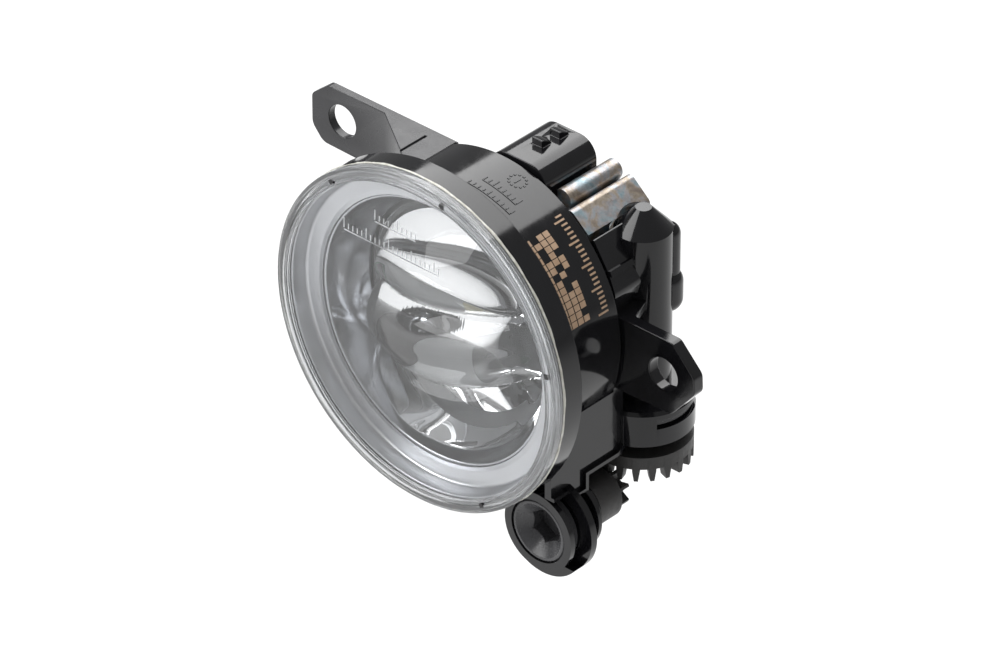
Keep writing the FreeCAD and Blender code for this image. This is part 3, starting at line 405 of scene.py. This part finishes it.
def projector_optic():
    steps, rings = 360, 110
    bm = bmesh.new()
    layers = []
    for ring in range(1, rings + 1):
        share = ring / rings
        layer = []
        for step in range(steps):
            x, z = optic_outline(2 * math.pi * step / steps)
            x, z = x * share, OPTIC_Z + (z - OPTIC_Z) * share
            layer.append((x, optic_front(x, z, share), z))
        layers.append(layer)
    rim = layers[-1]
    for down in (0.35, 0.7, 1.0):
        layer = []
        for x, y, z in rim:
            turn = math.atan2(z, x)
            neck = Vector((OPTIC_NECK_R * math.cos(turn), OPTIC_FLANGE[1], OPTIC_NECK_R * math.sin(turn)))
            wall = Vector((x, y, z)).lerp(neck, down)
            layer.append(tuple(wall))
        layers.append(layer)
    for radius, y in ((OPTIC_FLANGE[0] - 0.2, OPTIC_FLANGE[1]), (OPTIC_FLANGE[0], OPTIC_FLANGE[1] + 0.2),
                      (OPTIC_FLANGE[0], OPTIC_FLANGE[2] - 0.2), (OPTIC_FLANGE[0] - 0.2, OPTIC_FLANGE[2]),
                      (20.0, OPTIC_FLANGE[2] + 0.3), (10.0, OPTIC_FLANGE[2] + 0.9)):
        layer = []
        for x, _, z in rim:
            turn = math.atan2(z, x)
            layer.append((radius * math.cos(turn), y, radius * math.sin(turn)))
        layers.append(layer)
    verts = [[bm.verts.new((x * MM, y * MM, z * MM)) for x, y, z in layer] for layer in layers]
    front = bm.verts.new((0, optic_front(0, OPTIC_Z, 0) * MM, OPTIC_Z * MM))
    rear = bm.verts.new((0, (OPTIC_FLANGE[2] + 1.1) * MM, 0))
    for step in range(steps):
        after = (step + 1) % steps
        bm.faces.new((front, verts[0][step], verts[0][after]))
        bm.faces.new((rear, verts[-1][after], verts[-1][step]))
        for a, b in zip(verts[:-1], verts[1:]):
            bm.faces.new((a[step], b[step], b[after], a[after]))
    obj = from_bmesh("optic_lobes", bm, "optic_clear", 28.0)
    finish_piece(obj, "projector_optic")


BEAD_R, BEAD_Y, BEAD_T = 34.95, 8.0, 0.42
BOWL_R, BOWL_Y = 34.6, 8.2         # mouth of the bowl
BOWL_TAPER, BOWL_BELLY = 4.1, 3.0
BOWL_DEPTH, BOWL_T = 10.2, 1.0


def reflector():
    bezel = lathe("bezel", rounded_profile(
        [(41.2, 3.1), (41.9, 3.1), (41.9, 8.3), (35.6, 8.3), (35.4, 7.3, 0.05), (36.6, 7.6),
         (40.6, 7.3, 0.8)], 0.25, 4), "bezel_satin")
    finish_piece(bezel, "reflector")
    bead_points = []
    for index in range(16):
        turn = math.pi * index / 8
        bead_points.append((BEAD_R + BEAD_T * math.cos(turn), BEAD_Y + BEAD_T * math.sin(turn)))
    bead = lathe("bowl_bead", bead_points, "mirror_bowl")
    finish_piece(bead, "reflector", replace=False)
    curve = []
    for step in range(13):
        t = step / 12
        curve.append((BOWL_R - BOWL_TAPER * t + BOWL_BELLY * t * (1 - t), BOWL_Y + BOWL_DEPTH * t))
    outer = [(r + BOWL_T, y) for r, y in reversed(curve)]
    bowl = lathe("bowl", curve + outer, "mirror_bowl")
    finish_piece(bowl, "reflector", replace=False)


def rounded_plate(name, x0, x1, y0, y1, z0, z1, corner, material, edge=0.15):
    """Flat plate facing -Y with rounded corners and softened edges."""
    bm = bmesh.new()
    points = []
    for cx, cz, start in ((x1 - corner, z1 - corner, 0), (x0 + corner, z1 - corner, 90),
                          (x0 + corner, z0 + corner, 180), (x1 - corner, z0 + corner, 270)):
        for step in range(9):
            turn = math.radians(start + 90 * step / 8)
            points.append((cx + corner * math.cos(turn), cz + corner * math.sin(turn)))
    front = [bm.verts.new((x * MM, y0 * MM, z * MM)) for x, z in points]
    rear = [bm.verts.new((x * MM, y1 * MM, z * MM)) for x, z in points]
    bm.faces.new(front)
    bm.faces.new(list(reversed(rear)))
    for i in range(len(points)):
        j = (i + 1) % len(points)
        bm.faces.new((front[i], rear[i], rear[j], front[j]))
    obj = from_bmesh(name, bm, material)
    bevel(obj, edge, 2)
    return obj


def painted_shade_plate():
    """Dark frame behind the optic, to the right of the emitters: painted shade, a dark sheet that puts a
    dark patch into the optic.
    """
    plate = rounded_plate("painted_shade_plate", 3.0, 20.5, 22.0, 22.8, -13.5, 5.5, 3.0, "painted_shade_grey")
    finish_piece(plate, "led_board", body="lamp", replace=False)


# ================================================================ marks on the drum and the lens
def curved_block(bm, turn0, turn1, y0, y1, r0, r1):
    """Block on a cylinder about Y between two angles in degrees."""
    spans = max(1, int((turn1 - turn0) / 2.0))
    rows = []
    for i in range(spans + 1):
        turn = math.radians(turn0 + (turn1 - turn0) * i / spans)
        c, s = math.cos(turn), math.sin(turn)
        rows.append([bm.verts.new((r * c * MM, y * MM, r * s * MM))
                     for r, y in ((r0, y0), (r1, y0), (r1, y1), (r0, y1))])
    for a, b in zip(rows[:-1], rows[1:]):
        for i in range(4):
            j = (i + 1) % 4
            bm.faces.new((a[i], a[j], b[j], b[i]))
    bm.faces.new(list(reversed(rows[0])))
    bm.faces.new(rows[-1])


def drum_print():
    """Plain printed field: a coarse grid of cells and a row of ticks beside it."""
    bm = bmesh.new()
    inside, outside = DRUM_R - 0.05, DRUM_R + 0.03
    first_turn, first_y = 18.0, 14.0
    turn_step, y_step = 2.6, 2.1
    gap_turn, gap_y = 0.3, 0.3
    cells = random.Random(SEED)
    for column in range(14):
        for row in range(4):
            border = row == 0 or column == 0
            if border or cells.random() < 0.55:
                turn = first_turn + column * turn_step
                y = first_y + row * y_step
                curved_block(bm, turn, turn + turn_step - gap_turn, y, y + y_step - gap_y,
                             inside, outside)
    scale_turn, scale_y, scale_step = 17.0, 28.4, 1.85
    for tick in range(22):
        turn = scale_turn + tick * scale_step
        tall = 3.4 if tick % 5 == 0 else 2.0
        curved_block(bm, turn, turn + 0.75, scale_y - tall, scale_y, inside, outside)
    obj = from_bmesh("drum_print", bm, "print_tan")
    finish_piece(obj, "housing", replace=False)


def drum_marks():
    """Raised marks from the mould: three rows of plain ticks and a small dial."""
    bm = bmesh.new()
    inside, outside = DRUM_R - 0.1, DRUM_R + 0.14
    tick_step, tick_w = 2.3, 0.5
    for row, (y, count, tall) in enumerate(((13.0, 13, 1.8), (16.6, 10, 1.6), (20.0, 8, 2.2))):
        start = 64.0 + row * 2.0
        for tick in range(count):
            turn = start + tick * tick_step
            reach = tall if tick % 5 == 0 else tall * 0.6
            curved_block(bm, turn, turn + tick_w, y + 0.5, y + 0.5 + reach, inside, outside)
        end = start + (count - 1) * tick_step + tick_w
        curved_block(bm, start, end, y, y + 0.3, inside, outside)
    centre_turn, centre_y, dial_r = 76.0, 26.4, 2.2
    for spoke in range(12):
        turn = 2 * math.pi * spoke / 12
        across = math.degrees(dial_r * math.cos(turn) / DRUM_R)
        along = dial_r * math.sin(turn)
        curved_block(bm, centre_turn + across - 0.45, centre_turn + across + 0.45,
                     centre_y + along - 0.3, centre_y + along + 0.3, inside, outside)
    curved_block(bm, centre_turn - 0.3, centre_turn + 0.3, centre_y - 1.2, centre_y + 1.0,
                 inside, outside)
    obj = from_bmesh("drum_marks", bm, "satin_black_and_sheen")
    bevel(obj, 0.06, 2)
    finish_piece(obj, "housing", replace=False)


def lens_marks():
    """Two plain tick scales engraved in the window."""
    bm = bmesh.new()

    def bar(x0, z0, x1, z1, width=0.28):
        """Thin flat bar that lies in the window's front."""
        run = Vector((x1 - x0, z1 - z0)).normalized() * width / 2
        side = Vector((-run.y, run.x))
        front, rear = [], []
        for x, z in ((x0 - side.x, z0 - side.y), (x1 - side.x, z1 - side.y),
                     (x1 + side.x, z1 + side.y), (x0 + side.x, z0 + side.y)):
            y = window_y(x, z)
            front.append(bm.verts.new((x * MM, (y - 0.06) * MM, z * MM)))
            rear.append(bm.verts.new((x * MM, (y + 0.05) * MM, z * MM)))
        bm.faces.new(front)
        bm.faces.new(list(reversed(rear)))
        for i in range(4):
            j = (i + 1) % 4
            bm.faces.new((front[i], rear[i], rear[j], front[j]))

    spacing = 1.45
    for base, start, count in ((22.6, -22.0, 22), (29.0, -12.0, 10)):
        for index in range(count):
            x = start + index * spacing
            bar(x, base + 0.5, x, base + (3.2 if index % 5 == 0 else 2.0))
        bar(start, base, start + (count - 1) * spacing, base)
    obj = from_bmesh("lens_marks", bm, "engraved")
    finish_piece(obj, "outer_lens", replace=False)


def weld_flash():
    """Uneven bead of weld between the lens and the housing."""
    steps, sides = 360, 6
    rough = random.Random(SEED + 1)
    bm = bmesh.new()
    rings = []
    for step in range(steps):
        turn = 2 * math.pi * step / steps
        swell = 0.5 + 0.5 * math.sin(turn * 9.0 + 1.3) * math.sin(turn * 23.0)
        bulge = 0.10 + 0.22 * swell + 0.10 * rough.random()
        mid = LENS_R - 0.12 + bulge * 0.5
        ring = []
        for side in range(sides):
            a = 2 * math.pi * side / sides
            r = mid + bulge * 0.6 * math.cos(a)
            y = 2.95 + (0.22 + 0.2 * swell) * math.sin(a)
            ring.append(bm.verts.new((r * math.cos(turn) * MM, y * MM, r * math.sin(turn) * MM)))
        rings.append(ring)
    for step in range(steps):
        a, b = rings[step], rings[(step + 1) % steps]
        for i in range(sides):
            j = (i + 1) % sides
            bm.faces.new((a[i], a[j], b[j], b[i]))
    flash = from_bmesh("weld_flash", bm, "weld_cream", 60.0)
    finish_piece(flash, "outer_lens", replace=False)


def flange_notches():
    """Four small marks from the mould in the flange's groove."""
    bm = bmesh.new()
    for turn in (78.0, 12.0, 128.0, 300.0):
        curved_block(bm, turn - 0.9, turn + 0.9, -0.16, 0.7, 42.2, 43.4)
    notches = from_bmesh("flange_notches", bm, "gloss_black")
    bevel(notches, 0.1, 2)
    finish_piece(notches, "outer_lens", replace=False)


# ================================================================ housing and the rest
lens_flange()
lens_window()
projector_optic()
reflector()
painted_shade_plate()
drum_print()
drum_marks()
lens_marks()
weld_flash()
flange_notches()
for node, material, width in (
        ("housing", "gloss_black", 0.25),
        # left tab in the lighter satin black, right tab in gloss black: painted light, the left tab's
        # lighter front is a painted reflection of the floor
        ("left_mounting_tab", "satin_black_and_sheen", 0.35), ("right_mounting_tab", "gloss_black", 0.35),
        ("adjuster_bracket", "gloss_black", 0.3), ("adjuster_tower", "gloss_black", 0.35),
        ("drive_cup", "cup_grey", 0.15), ("pinion_gear", "matte_black", 0.2),
        ("crown_gear", "matte_black", 0.2), ("gear_retaining_clip", "satin_black_and_sheen", 0.2),
        ("aim_spindle", "zinc", 0.15), ("optic_carrier", "carrier_grey", 0.2),
        ("led_board", "board_white", 0.1), ("led_emitters", "emitter", 0.1),
        ("thermal_pad", "pad_grey", 0.05), ("board_screws", "zinc", 0.1),
        ("driver_board", "board_green", 0.1), ("driver_components", "chip", 0.1),
        ("board_header", "chip", 0.1), ("heatsink", "passivated", 0.45),
        ("heatsink_seal", "rubber", 0.2), ("heatsink_screws", "zinc", 0.15),
        ("vent_plug", "rubber", 0.3), ("connector_shroud", "gloss_black", 0.3),
        ("connector_pins", "brass_tin", 0.1)):
    detailed(node, material, width)


# ================================================================ stage, light and camera
def stage_floor():
    bm = bmesh.new()
    corners = ((-1, -1), (1, -1), (1, 1), (-1, 1))
    bm.faces.new([bm.verts.new((x * FLOOR_HALF, y * FLOOR_HALF, FLOOR_Z)) for x, y in corners])
    mesh = bpy.data.meshes.new("floor")
    bm.to_mesh(mesh)
    bm.free()
    floor = bpy.data.objects.new("floor", mesh)
    bpy.context.scene.collection.objects.link(floor)
    mat, tree, shader = new_material("floor_white")
    tree.links.new(ramp(tree, noise(tree, 400.0), [(0.3, 0.86), (0.7, 0.88)]), shader.inputs["Base Color"])
    shader.inputs["Roughness"].default_value = 0.9
    mesh.materials.append(mat)


def soft_light(name, where, size, power, size_y=None):
    """Area light that faces the lamp."""
    light = bpy.data.lights.new(name, "AREA")
    light.shape = "RECTANGLE"
    light.size = size
    light.size_y = size_y or size
    light.energy = power
    obj = bpy.data.objects.new(name, light)
    bpy.context.scene.collection.objects.link(obj)
    obj.location = where
    obj.rotation_euler = (-Vector(where)).to_track_quat("-Z", "Y").to_euler()
    return obj


def camera():
    azimuth, elevation = math.radians(42.1), math.radians(33.6)
    right = Vector((math.cos(azimuth), math.sin(azimuth), 0.0))
    ahead = Vector((-math.sin(azimuth) * math.cos(elevation), math.cos(azimuth) * math.cos(elevation),
                    -math.sin(elevation)))
    up = right.cross(ahead)
    data = bpy.data.cameras.new("camera")
    data.lens = 288.0
    data.sensor_width = 36.0
    data.clip_end = 80.0
    obj = bpy.data.objects.new("camera", data)
    bpy.context.scene.collection.objects.link(obj)
    where = (right * 20.31 + up * 2.08 - ahead * 1891.3) * MM
    axes = Matrix((right, up, -ahead)).transposed()
    obj.matrix_world = Matrix.Translation(where) @ axes.to_4x4()
    bpy.context.scene.camera = obj


stage_floor()
world = bpy.data.worlds.new("studio")
world.use_nodes = True
world.node_tree.nodes["Background"].inputs["Color"].default_value = (1.0, 1.0, 1.0, 1.0)
world.node_tree.nodes["Background"].inputs["Strength"].default_value = 0.30
bpy.context.scene.world = world
soft_light("key", (-1.2, -1.4, 1.1), 1.5, 34.0)
soft_light("top", (-0.5, 1.1, 1.5), 2.0, 40.0, 1.5)
camera()

bpy.context.scene.view_settings.view_transform = "Standard"
bpy.context.scene.cycles.max_bounces = 16
bpy.context.scene.cycles.transmission_bounces = 12
bpy.context.scene.cycles.glossy_bounces = 6
bpy.context.scene.cycles.sample_clamp_indirect = 4.0
